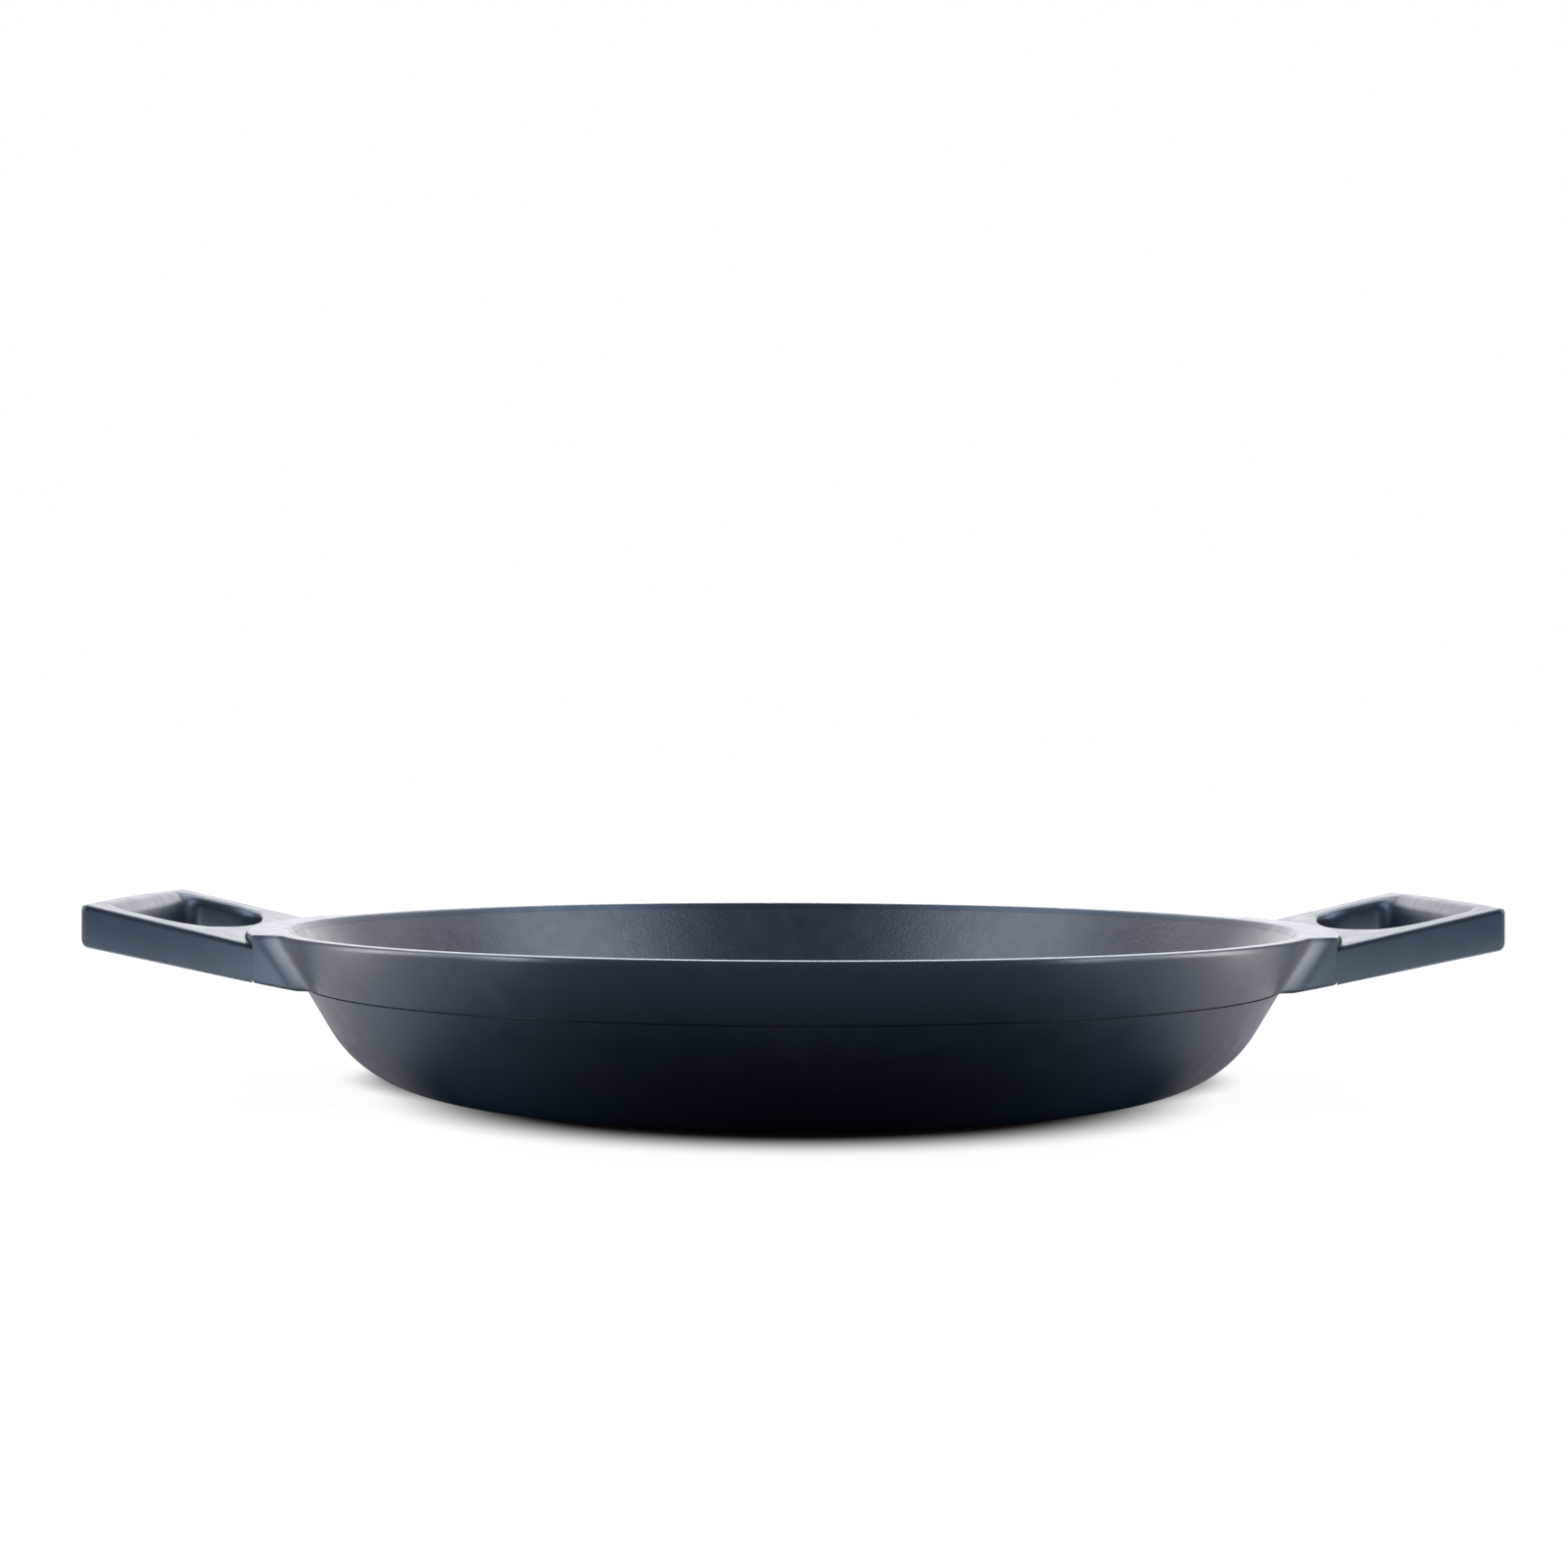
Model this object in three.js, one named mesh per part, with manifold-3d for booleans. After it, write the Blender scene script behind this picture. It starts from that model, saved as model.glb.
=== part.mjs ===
import * as THREE from "three";
import { mergeVertices } from "three/addons/utils/BufferGeometryUtils.js";
import Module from "manifold-3d";

// A low frying pan with two side handles, in millimetres.
// The origin is on the hob under the middle of the pan. +Z is up and +X runs out through the right handle.

// Bowl
const RIM_RADIUS = 160.83; // where the outside of the wall would meet the top of the rim
const RIM_HEIGHT = 49.9; // top of the rim above the hob
const RIM_ROUND = 1.2; // rounding of the inner edge of the rim
const RIM_EDGE = 0.5; // rounding of the outer edge of the rim, and of the collars
const WALL_ANGLE = THREE.MathUtils.degToRad(59.7); // wall against the hob
const WALL_THICKNESS = 4;
const OUTER_TURN = 38.5; // radius that turns the underside into the wall
const INNER_TURN = 33; // radius that turns the cooking surface into the wall
const FLOOR_HEIGHT = 6.5; // cooking surface above the hob
const GROOVE_BELOW_RIM = 16.8; // fine groove round the outside of the wall
const GROOVE_WIDTH = 0.5;
const GROOVE_DEPTH = 0.5;

// Base: a perforated steel plate in a recess, with a peg of the bowl in each of its holes
const FOOT_LIFT = 0.25; // the steel plate carries the pan, so the foot and the pegs stay off the hob
const FOOT_HEIGHT = 0.95; // step from the foot up to the underside of the bowl
const FOOT_INSET = 4.3; // from the start of the turn into the wall in to the foot
const FOOT_WIDTH = 8; // ring of the foot round the plate
const FOOT_CHAMFER = 0.5;
const PLATE_THICKNESS = 1;
const PLATE_BORDER = 12; // plain edge of the plate, clear of holes
const HOLE_RADIUS = 4.5; // holes of the plate
const HOLE_RING_PITCH = 25; // between one ring of holes and the next, and from the middle to the first
const HOLES_PER_RING = 6; // in the first ring; each further ring has as many more

// Lining of the cooking surface, let in flush below the rim
const LINING_THICKNESS = 0.3;
const LINING_BELOW_RIM = 2;

// Collars: shoulders of the bowl that carry the handles, level with the rim
const COLLAR_WIDTH = 7.17; // from the rim to the seam, along a circle about the middle of the pan
const COLLAR_FILLET = 12; // hollow between the end of a collar and the wall

// Handles: tilted frames with a finger hole
const HANDLE_HALF_WIDTH = 58;
const HANDLE_REACH = 47.8; // from the rim to the end of the handle
const HANDLE_STEP = 2.1; // top of the handle below the top of the rim, at the rim
const HANDLE_DEPTH = 11.1; // thickness at the rim, measured upright
const TOP_SLOPE = 0.237;
const UNDER_SLOPE = 0.21;
const END_BAR = 6.5;
const SIDE_BAR = 15;
const WEB = 2.2; // from the seam to the hole, in the middle
const HANDLE_EDGE = 1.6; // edge rounding
const END_BOW = 1300; // radius of the end, seen from above
const HANDLE_CORNER = 2.5;
const GRIP_BOW = 120; // radius of the side of the finger hole next to the pan
const GRIP_INNER_CORNER = 13;
const GRIP_OUTER_CORNER = 6;

// Joint: a tongue of the handle in a slot of the collar, held from below by two screws
const TONGUE_LENGTH = 9;
const TONGUE_THICKNESS = 4;
const TONGUE_SHOULDER = 12; // from the side of the handle in to the side of the tongue
const SCREW_INSET = 16; // from the side of the tongue to the axis of a screw
const SCREW_RADIUS = 2;
const SCREW_TIP = 0.4; // chamfer at the tip
const SCREW_HEAD_RADIUS = 3.5;
const SCREW_HEAD_HEIGHT = 1.7;
const SCREW_RECESS = 0.3; // head above the underside of the collar, at its axis
const SCREW_KEY = 2.5; // across the flats of the key hole
const SCREW_KEY_DEPTH = 1.1;

// Clearances
const LINING_GAP = 0.05; // under the lining and over its edge
const SEAM_GAP = 0.3; // between a handle and its collar, all round the tongue as well
const SCREW_GAP = 0.2; // round the head and the shank of a screw
const PLATE_GAP = 0.3; // round the steel plate and each peg
const COLLAR_SINK = 0.25; // the fillets of a collar end this far inside the wall
const CUT_OVERRUN = 1; // a cut runs this far past the face that it opens

// Facets
const BOWL_FACETS = 84;
const HOLE_FACETS = 8;
const SCREW_FACETS = 16;

const wasm = await Module();
wasm.setup();

const seamRadius = RIM_RADIUS + COLLAR_WIDTH;
const handleEnd = RIM_RADIUS + HANDLE_REACH;

// A closed geometry as a solid for cutting and joining.
function solid(geometry) {
  const bare = new THREE.BufferGeometry();
  bare.setAttribute("position", geometry.getAttribute("position").clone());
  bare.setIndex(geometry.index);
  const merged = mergeVertices(bare, 1e-4);
  const faces = [];
  const index = merged.index.array;
  for (let i = 0; i < index.length; i += 3) {
    const [a, b, c] = [index[i], index[i + 1], index[i + 2]];
    if (a !== b && b !== c && c !== a) faces.push(a, b, c);
  }
  const make = (triVerts) =>
    new wasm.Manifold(
      new wasm.Mesh({
        numProp: 3,
        vertProperties: merged.attributes.position.array,
        triVerts: new Uint32Array(triVerts),
      }),
    );
  const made = make(faces);
  return made.volume() < 0 ? make(faces.reverse()) : made;
}

function meshOf(name, made, finish) {
  const data = made.getMesh();
  const geometry = new THREE.BufferGeometry();
  geometry.setAttribute("position", new THREE.BufferAttribute(data.vertProperties, 3));
  geometry.setIndex(new THREE.BufferAttribute(data.triVerts, 1));
  geometry.computeVertexNormals();
  const mesh = new THREE.Mesh(geometry, new THREE.MeshStandardMaterial(finish));
  mesh.name = name;
  return mesh;
}

function arc(x, y, radius, from, to, steps) {
  const points = [];
  for (let i = 0; i <= steps; i++) {
    const angle = from + ((to - from) * i) / steps;
    points.push(new THREE.Vector2(x + radius * Math.cos(angle), y + radius * Math.sin(angle)));
  }
  return points;
}

function turned(profile, facets) {
  return solid(new THREE.LatheGeometry(profile, facets).rotateX(Math.PI / 2));
}

// An upright prism on a plan outline, between two heights.
function prism(outline, bottom, top) {
  const shape = new THREE.Shape(outline);
  const geometry = new THREE.ExtrudeGeometry(shape, { depth: top - bottom, bevelEnabled: false });
  return solid(geometry.translate(0, 0, bottom));
}

// Closed rings of equal count, stacked upwards and capped at both ends.
function stacked(rings) {
  const count = rings[0].length;
  const position = rings.flat().flatMap((p) => [p.x, p.y, p.z]);
  const index = [];
  for (let k = 0; k + 1 < rings.length; k++) {
    for (let i = 0; i < count; i++) {
      const a = k * count + i;
      const b = k * count + ((i + 1) % count);
      index.push(a, b, b + count, a, b + count, a + count);
    }
  }
  const cap = (ring) => {
    const plan = ring.map((p) => new THREE.Vector2(p.x, p.y));
    return THREE.ShapeUtils.triangulateShape(plan, []);
  };
  for (const [a, b, c] of cap(rings[0])) index.push(a, c, b);
  const last = (rings.length - 1) * count;
  for (const [a, b, c] of cap(rings.at(-1))) index.push(last + a, last + b, last + c);
  const geometry = new THREE.BufferGeometry();
  geometry.setAttribute("position", new THREE.Float32BufferAttribute(position, 3));
  geometry.setIndex(index);
  return solid(geometry);
}

const turnRound = (made) => made.rotate([0, 0, 180]);

// Wall: lines parallel to the outside of the wall, given by their distance inside it.
const wallNormal = new THREE.Vector2(Math.sin(WALL_ANGLE), -Math.cos(WALL_ANGLE));

function wallRadius(height, inset = 0) {
  return RIM_RADIUS - (RIM_HEIGHT - height) / Math.tan(WALL_ANGLE) - inset / wallNormal.x;
}

// The curve from a level surface into the wall, from the level surface upwards.
function turnIntoWall(level, inset, radius, steps) {
  const height = level + radius;
  const centre = wallRadius(height, inset) - radius / wallNormal.x;
  return arc(centre, height, radius, -Math.PI / 2, WALL_ANGLE - Math.PI / 2, steps);
}

// Rounding of the edge between the top of the rim and a face of the wall.
function rimRound(inset, radius, outer) {
  const height = RIM_HEIGHT - radius;
  const side = outer ? -1 : 1;
  const centre = wallRadius(height, inset) + (side * radius) / wallNormal.x;
  const wallFacing = outer ? WALL_ANGLE - Math.PI / 2 : WALL_ANGLE + Math.PI / 2;
  return arc(centre, height, radius, wallFacing, Math.PI / 2, 3);
}

// Inside of the bowl, from the middle of the floor to the wall, at a depth below the cooking surface.
function insideCurve(below) {
  const level = FLOOR_HEIGHT - below;
  const inset = WALL_THICKNESS - below;
  return [new THREE.Vector2(0, level), ...turnIntoWall(level, inset, INNER_TURN + below, 5)];
}

// A point inside the wall, at a height and a depth below the cooking surface.
function insideWall(height, below) {
  return new THREE.Vector2(wallRadius(height, WALL_THICKNESS - below), height);
}

const outerTurn = turnIntoWall(FOOT_LIFT + FOOT_HEIGHT, 0, OUTER_TURN, 6);
const footRadius = outerTurn[0].x - FOOT_INSET;
const plateRadius = footRadius - FOOT_WIDTH;

function bowl() {
  const ledge = RIM_HEIGHT - LINING_BELOW_RIM;
  const recess = plateRadius + PLATE_GAP;
  const chamfer = Math.min(FOOT_CHAMFER, FOOT_HEIGHT);
  const grooveHeight = RIM_HEIGHT - GROOVE_BELOW_RIM;
  const groove = (height, depth) => new THREE.Vector2(wallRadius(height, depth), height);
  const profile = [
    new THREE.Vector2(0, PLATE_THICKNESS),
    new THREE.Vector2(recess, PLATE_THICKNESS),
    new THREE.Vector2(recess, FOOT_LIFT),
    new THREE.Vector2(footRadius - chamfer, FOOT_LIFT),
    new THREE.Vector2(footRadius, FOOT_LIFT + chamfer),
    new THREE.Vector2(footRadius, FOOT_LIFT + FOOT_HEIGHT),
    ...outerTurn,
    groove(grooveHeight - GROOVE_WIDTH / 2, 0),
    groove(grooveHeight, GROOVE_DEPTH),
    groove(grooveHeight + GROOVE_WIDTH / 2, 0),
    ...rimRound(0, RIM_EDGE, true),
    ...rimRound(WALL_THICKNESS, RIM_ROUND, false).reverse(),
    insideWall(ledge, 0),
    insideWall(ledge, LINING_THICKNESS),
    ...insideCurve(LINING_THICKNESS).reverse(),
  ];
  return turned(profile, BOWL_FACETS);
}

function lining() {
  const under = LINING_THICKNESS - LINING_GAP;
  const edge = RIM_HEIGHT - LINING_BELOW_RIM - LINING_GAP;
  const profile = [
    ...insideCurve(under),
    insideWall(edge, under),
    insideWall(edge, 0),
    ...insideCurve(0).reverse(),
  ];
  return turned(profile, BOWL_FACETS);
}

// Top and underside of a handle at a distance from the middle of the pan.
function handleTop(x) {
  return RIM_HEIGHT - HANDLE_STEP + TOP_SLOPE * (x - RIM_RADIUS);
}

function handleUnderside(x) {
  return RIM_HEIGHT - HANDLE_STEP - HANDLE_DEPTH + UNDER_SLOPE * (x - RIM_RADIUS);
}

const seamSteps = 12;
const tongueMiddle = (handleTop(seamRadius) + handleUnderside(seamRadius)) / 2;
const tongueFloor = tongueMiddle - TONGUE_THICKNESS / 2;
const tongueTop = tongueMiddle + TONGUE_THICKNESS / 2;
const tongueHalfWidth = HANDLE_HALF_WIDTH - TONGUE_SHOULDER;

// Plan of a collar at one height, drawn in by an amount for the rounding of its top edge.
function collarRing(height, drawnIn) {
  const wall = wallRadius(height) - COLLAR_SINK;
  const y = HANDLE_HALF_WIDTH + COLLAR_FILLET;
  const x = Math.sqrt((wall + COLLAR_FILLET) ** 2 - y ** 2);
  const hollow = COLLAR_FILLET + drawnIn;
  const toWall = Math.atan2(-y, x);
  const radius = seamRadius - SEAM_GAP / 2 - drawnIn;
  const corner = Math.asin((HANDLE_HALF_WIDTH - drawnIn) / radius);
  const front = arc(x, -y, hollow, Math.PI + toWall, Math.PI / 2, 6);
  const rear = arc(x, y, hollow, -Math.PI / 2, -Math.PI - toWall, 6);
  const inside = arc(0, 0, wallRadius(height, WALL_THICKNESS / 2), -toWall, toWall, seamSteps);
  const outline = [...front, ...arc(0, 0, radius, -corner, corner, seamSteps), ...rear, ...inside];
  return outline.map((p) => new THREE.Vector3(p.x, p.y, height));
}

function collar() {
  const start = handleUnderside(wallRadius(0));
  const rounded = RIM_HEIGHT - RIM_EDGE;
  const steps = 4;
  const rings = [];
  for (let i = 0; i < steps; i++) rings.push(collarRing(start + ((rounded - start) * i) / steps, 0));
  const edge = arc(RIM_EDGE, rounded, RIM_EDGE, Math.PI, Math.PI / 2, 2);
  for (const p of edge) rings.push(collarRing(p.y, p.x));
  return stacked(rings).subtract(belowHandle());
}

// Everything under the sloping underside of the handles.
function belowHandle() {
  const box = new THREE.BoxGeometry(handleEnd, 4 * HANDLE_HALF_WIDTH, 1);
  const position = box.getAttribute("position");
  for (let i = 0; i < position.count; i++) {
    const x = position.getX(i) + handleEnd;
    position.setX(i, x);
    position.setZ(i, position.getZ(i) > 0 ? handleUnderside(x) : -RIM_HEIGHT);
  }
  return solid(box);
}

// Plan of the tongue, or of the slot when grown by the gap round it.
function tonguePlan(grown) {
  const inner = seamRadius - TONGUE_LENGTH - grown;
  const outer = seamRadius + HANDLE_EDGE;
  const half = tongueHalfWidth + grown;
  const a = Math.asin(half / inner);
  const b = Math.asin(half / outer);
  return [...arc(0, 0, outer, -b, b, seamSteps), ...arc(0, 0, inner, a, -a, seamSteps)];
}

// The screws stand in the middle of the tongue's length.
const screwY = tongueHalfWidth - SCREW_INSET;
const screwX = Math.sqrt((seamRadius - TONGUE_LENGTH / 2) ** 2 - screwY ** 2);
const screwBottom = handleUnderside(screwX) + SCREW_RECESS;
const screwShoulder = screwBottom + SCREW_HEAD_HEIGHT;

function upright(x, y, radius, bottom, top, facets) {
  const height = top - bottom;
  const geometry = new THREE.CylinderGeometry(radius, radius, height, facets);
  return solid(geometry.rotateX(Math.PI / 2).translate(x, y, bottom + height / 2));
}

function screwHoles() {
  const bottom = screwBottom - SCREW_HEAD_RADIUS - CUT_OVERRUN;
  const hole = (y) => {
    const shank = upright(screwX, y, SCREW_RADIUS + SCREW_GAP, bottom, tongueTop, SCREW_FACETS);
    const head = upright(screwX, y, SCREW_HEAD_RADIUS + SCREW_GAP, bottom, screwShoulder, SCREW_FACETS);
    return shank.add(head);
  };
  return hole(-screwY).add(hole(screwY));
}

function screw(y) {
  const tip = tongueTop - SCREW_GAP;
  const profile = [
    new THREE.Vector2(0, screwBottom),
    new THREE.Vector2(SCREW_HEAD_RADIUS, screwBottom),
    new THREE.Vector2(SCREW_HEAD_RADIUS, screwShoulder),
    new THREE.Vector2(SCREW_RADIUS, screwShoulder),
    new THREE.Vector2(SCREW_RADIUS, tip - SCREW_TIP),
    new THREE.Vector2(SCREW_RADIUS - SCREW_TIP, tip),
    new THREE.Vector2(0, tip),
  ];
  const keyRadius = SCREW_KEY / Math.sqrt(3);
  const key = upright(0, 0, keyRadius, screwBottom - CUT_OVERRUN, screwBottom + SCREW_KEY_DEPTH, 6);
  return turned(profile, SCREW_FACETS).subtract(key).translate([screwX, y, 0]);
}

// Plan of a handle, running in past the seam.
function handlePlan() {
  const half = HANDLE_HALF_WIDTH;
  const bowX = handleEnd - END_BOW;
  const y = half - HANDLE_CORNER;
  const x = bowX + Math.sqrt((END_BOW - HANDLE_CORNER) ** 2 - y ** 2);
  const along = Math.atan2(y, x - bowX);
  const root = Math.sqrt(seamRadius ** 2 - half ** 2) - 2 * HANDLE_EDGE;
  const front = arc(x, -y, HANDLE_CORNER, -Math.PI / 2, -along, 5);
  const rear = arc(x, y, HANDLE_CORNER, along, Math.PI / 2, 5);
  const end = arc(bowX, 0, END_BOW, -along, along, 4).slice(1, -1);
  return [new THREE.Vector2(root, -half), ...front, ...end, ...rear, new THREE.Vector2(root, half)];
}

// Plan of the finger hole. Its corners are limited by the length of its sides.
function gripPlan() {
  const half = HANDLE_HALF_WIDTH - SIDE_BAR;
  const outer = handleEnd - END_BAR;
  const bowX = seamRadius + WEB + GRIP_BOW;
  const side = outer - bowX + Math.sqrt(GRIP_BOW ** 2 - half ** 2);
  const outerCorner = Math.min(GRIP_OUTER_CORNER, 0.4 * side);
  const innerCorner = Math.min(GRIP_INNER_CORNER, 0.6 * side);
  const outerX = outer - outerCorner;
  const outerY = half - outerCorner;
  const innerY = half - innerCorner;
  const innerX = bowX - Math.sqrt((GRIP_BOW - innerCorner) ** 2 - innerY ** 2);
  const along = Math.atan2(innerY, bowX - innerX);
  return [
    ...arc(outerX, -outerY, outerCorner, 0, -Math.PI / 2, 4),
    ...arc(innerX, -innerY, innerCorner, -Math.PI / 2, -Math.PI + along, 4),
    ...arc(bowX, 0, GRIP_BOW, Math.PI + along, Math.PI - along, 6).slice(1, -1),
    ...arc(innerX, innerY, innerCorner, Math.PI - along, Math.PI / 2, 4),
    ...arc(outerX, outerY, outerCorner, Math.PI / 2, 0, 4),
  ];
}

// A level slab with rounded edges, then every point moved to its share of the handle's depth at its place.
function frame() {
  const shape = new THREE.Shape(handlePlan());
  shape.holes.push(new THREE.Path(gripPlan()));
  const geometry = new THREE.ExtrudeGeometry(shape, {
    depth: HANDLE_DEPTH - 2 * HANDLE_EDGE,
    bevelThickness: HANDLE_EDGE,
    bevelSize: HANDLE_EDGE,
    bevelOffset: -HANDLE_EDGE,
    bevelSegments: 2,
  });
  const position = geometry.getAttribute("position");
  for (let i = 0; i < position.count; i++) {
    const x = position.getX(i);
    const share = (position.getZ(i) + HANDLE_EDGE) / HANDLE_DEPTH;
    const low = handleUnderside(x);
    position.setZ(i, low + share * (handleTop(x) - low));
  }
  return solid(geometry);
}

function handle() {
  const radius = seamRadius + SEAM_GAP / 2;
  const reach = Math.asin((HANDLE_HALF_WIDTH + COLLAR_FILLET) / radius);
  const seam = [new THREE.Vector2(0, 0), ...arc(0, 0, radius, -reach, reach, seamSteps)];
  const inside = prism(seam, 0, 2 * RIM_HEIGHT);
  const tongue = prism(tonguePlan(0), tongueFloor, tongueTop);
  return frame().subtract(inside).add(tongue).subtract(screwHoles());
}

// Middles of the holes of the plate, in rings.
function holePlaces() {
  const places = [];
  const last = plateRadius - PLATE_BORDER - HOLE_RADIUS;
  for (let radius = HOLE_RING_PITCH; radius <= last; radius += HOLE_RING_PITCH) {
    const count = (HOLES_PER_RING * radius) / HOLE_RING_PITCH;
    places.push(...arc(0, 0, radius, 0, 2 * Math.PI, count).slice(1));
  }
  return places;
}

function body() {
  const slot = prism(tonguePlan(SEAM_GAP), tongueFloor - SEAM_GAP, tongueTop + SEAM_GAP);
  const cuts = slot.add(screwHoles());
  const shoulder = collar();
  let made = bowl().add(shoulder).add(turnRound(shoulder)).subtract(cuts).subtract(turnRound(cuts));
  const middle = (PLATE_THICKNESS + FLOOR_HEIGHT) / 2;
  for (const p of holePlaces()) {
    made = made.add(upright(p.x, p.y, HOLE_RADIUS - PLATE_GAP, FOOT_LIFT, middle, HOLE_FACETS));
  }
  return made;
}

function plate() {
  let made = upright(0, 0, plateRadius, 0, PLATE_THICKNESS, BOWL_FACETS);
  for (const p of holePlaces()) {
    const top = PLATE_THICKNESS + CUT_OVERRUN;
    made = made.subtract(upright(p.x, p.y, HOLE_RADIUS, -CUT_OVERRUN, top, HOLE_FACETS));
  }
  return made;
}

const COATED = { color: 0x2a2f38, roughness: 0.42, metalness: 0.1 };
const LINED = { color: 0x2e3138, roughness: 0.55, metalness: 0.1 };
const STEEL = { color: 0xa9a8a4, roughness: 0.35, metalness: 1 };
const SCREW = { color: 0x6d6f72, roughness: 0.4, metalness: 1 };

const pan = new THREE.Group();
pan.name = "frying_pan";
pan.add(meshOf("pan_body", body(), COATED));
pan.add(meshOf("nonstick_lining", lining(), LINED));
pan.add(meshOf("induction_plate", plate(), STEEL));
pan.add(meshOf("handle_right", handle(), COATED));
pan.add(meshOf("handle_left", turnRound(handle()), COATED));
for (const [place, y] of [["front", -screwY], ["rear", screwY]]) {
  pan.add(meshOf(`handle_screw_right_${place}`, screw(y), SCREW));
  pan.add(meshOf(`handle_screw_left_${place}`, turnRound(screw(-y)), SCREW));
}

export default pan;
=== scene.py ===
import math

import bmesh
import bpy
from mathutils import Matrix, Vector


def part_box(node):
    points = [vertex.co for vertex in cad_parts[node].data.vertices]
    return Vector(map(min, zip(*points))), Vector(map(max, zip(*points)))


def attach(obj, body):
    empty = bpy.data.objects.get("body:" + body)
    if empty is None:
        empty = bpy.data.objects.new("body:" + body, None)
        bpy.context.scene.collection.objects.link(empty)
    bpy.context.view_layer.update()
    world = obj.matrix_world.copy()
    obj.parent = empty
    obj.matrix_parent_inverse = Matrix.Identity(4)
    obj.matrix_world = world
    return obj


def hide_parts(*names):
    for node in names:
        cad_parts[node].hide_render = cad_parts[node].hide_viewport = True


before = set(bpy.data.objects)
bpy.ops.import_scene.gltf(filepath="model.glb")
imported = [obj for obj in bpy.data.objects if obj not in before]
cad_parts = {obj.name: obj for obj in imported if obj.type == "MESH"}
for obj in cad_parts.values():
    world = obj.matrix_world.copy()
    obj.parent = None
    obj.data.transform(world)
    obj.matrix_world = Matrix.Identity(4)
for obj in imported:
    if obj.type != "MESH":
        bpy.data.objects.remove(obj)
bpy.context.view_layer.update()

MM = 0.001
QUARTER_TURN = math.pi / 2

# Bowl
RIM_RADIUS = 160.83 * MM
RIM_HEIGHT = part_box("pan_body")[1].z
RIM_ROUND = 1.2 * MM
RIM_EDGE = 0.5 * MM
WALL_ANGLE = math.radians(59.7)
WALL_THICKNESS = 4 * MM
OUTER_TURN = 38.5 * MM
INNER_TURN = 33 * MM
FLOOR_HEIGHT = 6.5 * MM
GROOVE_BELOW_RIM = 16.8 * MM
GROOVE_WIDTH = 0.45 * MM
GROOVE_DEPTH = 0.8 * MM

# Base
FOOT_LIFT = 0.25 * MM
FOOT_HEIGHT = 0.95 * MM
FOOT_WIDTH = 8 * MM
FOOT_ROUND = 0.5 * MM
PLATE_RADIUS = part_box("induction_plate")[1].x
PLATE_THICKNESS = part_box("induction_plate")[1].z
PLATE_GAP = 0.3 * MM
PLATE_BORDER = 12 * MM
HOLE_RADIUS = 4.5 * MM
HOLE_RING_PITCH = 25 * MM
HOLES_PER_RING = 6
FINE_EDGE = 0.12 * MM

# Lining
LINING_THICKNESS = 0.3 * MM
LINING_BELOW_RIM = 2 * MM
LINING_GAP = 0.05 * MM

# Collars and handles
COLLAR_WIDTH = 7.17 * MM
COLLAR_FILLET = 12 * MM
COLLAR_CORNER = 0.03 * MM
COLLAR_EDGE = 1.6 * MM
SEAM_GAP = 0.03 * MM
SEAM_LIP = 0.9 * MM
HANDLE_HALF_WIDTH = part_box("handle_right")[1].y
HANDLE_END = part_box("handle_right")[1].x
HANDLE_STEP = 2.1 * MM
HANDLE_DEPTH = 11.1 * MM
TOP_SLOPE = 0.237
UNDER_SLOPE = 0.21
END_BAR = 6.5 * MM
SIDE_BAR = 15 * MM
WEB = 2.2 * MM
HANDLE_EDGE = 1.6 * MM
END_UNDER_EDGE = 2.4 * MM
SIDE_UNDER_EDGE = 0.5 * MM
GRIP_EDGE = 1.1 * MM
GRIP_SIDE_EDGE = 4 * MM
GRIP_END_EDGE = 3 * MM
END_BOW = 1300 * MM
HANDLE_CORNER = 2 * MM
GRIP_BOW = 120 * MM
GRIP_INNER_CORNER = 13 * MM
GRIP_OUTER_CORNER = 6 * MM

# Screws
SCREWS = [
    "handle_screw_right_front",
    "handle_screw_right_rear",
    "handle_screw_left_front",
    "handle_screw_left_rear",
]
SCREW_RADIUS = 2 * MM
SCREW_HEAD_RADIUS = 3.5 * MM
SCREW_HEAD_HEIGHT = 1.7 * MM
SCREW_HEAD_EDGE = 0.3 * MM
SCREW_TIP = 0.4 * MM
SCREW_KEY = 2.5 * MM
SCREW_KEY_SIDES = 6
SCREW_KEY_DEPTH = 1.1 * MM
SCREW_GAP = 0.2 * MM

# Sizes that follow from the others
SIN_WALL = math.sin(WALL_ANGLE)
COS_WALL = math.cos(WALL_ANGLE)
TAN_WALL = math.tan(WALL_ANGLE)
SEAM_RADIUS = RIM_RADIUS + COLLAR_WIDTH
GROOVE_HEIGHT = RIM_HEIGHT - GROOVE_BELOW_RIM
LEDGE_FLOOR = GROOVE_HEIGHT + GROOVE_WIDTH

# Fineness: steps along a curve or a flat, and sides of a round
FINE_EDGE_STEPS = 3
FOOT_STEPS = 5
TURN_STEPS = 28
LINED_TURN_STEPS = 10
WALL_STEPS = 6
GROOVE_STEPS = 8
LEDGE_ROOT_STEPS = 4
LEDGE_STEPS = 5
LEDGE_EDGE_STEPS = 5
LEDGE_REPEATS = 20
COLLAR_START_STEPS = 2
COLLAR_STEPS = 12
RIM_EDGE_STEPS = 7
RIM_TOP_STEPS = 5
RIM_ROUND_STEPS = 8
RIM_INSIDE_STEPS = 3
LINING_WALL_STEPS = 10
SEAM_STEPS = 24
ROOT_STEPS = 8
SIDE_STEPS = 16
CORNER_STEPS = 12
END_STEPS = 16
HANDLE_EDGE_STEPS = 6
HANDLE_FACE_STEPS = 5
SCREW_EDGE_STEPS = 4
LINING_SIDES = 360
PLATE_SIDES = 256
HOLE_SIDES = 40
RECESS_SIDES = 48
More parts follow.
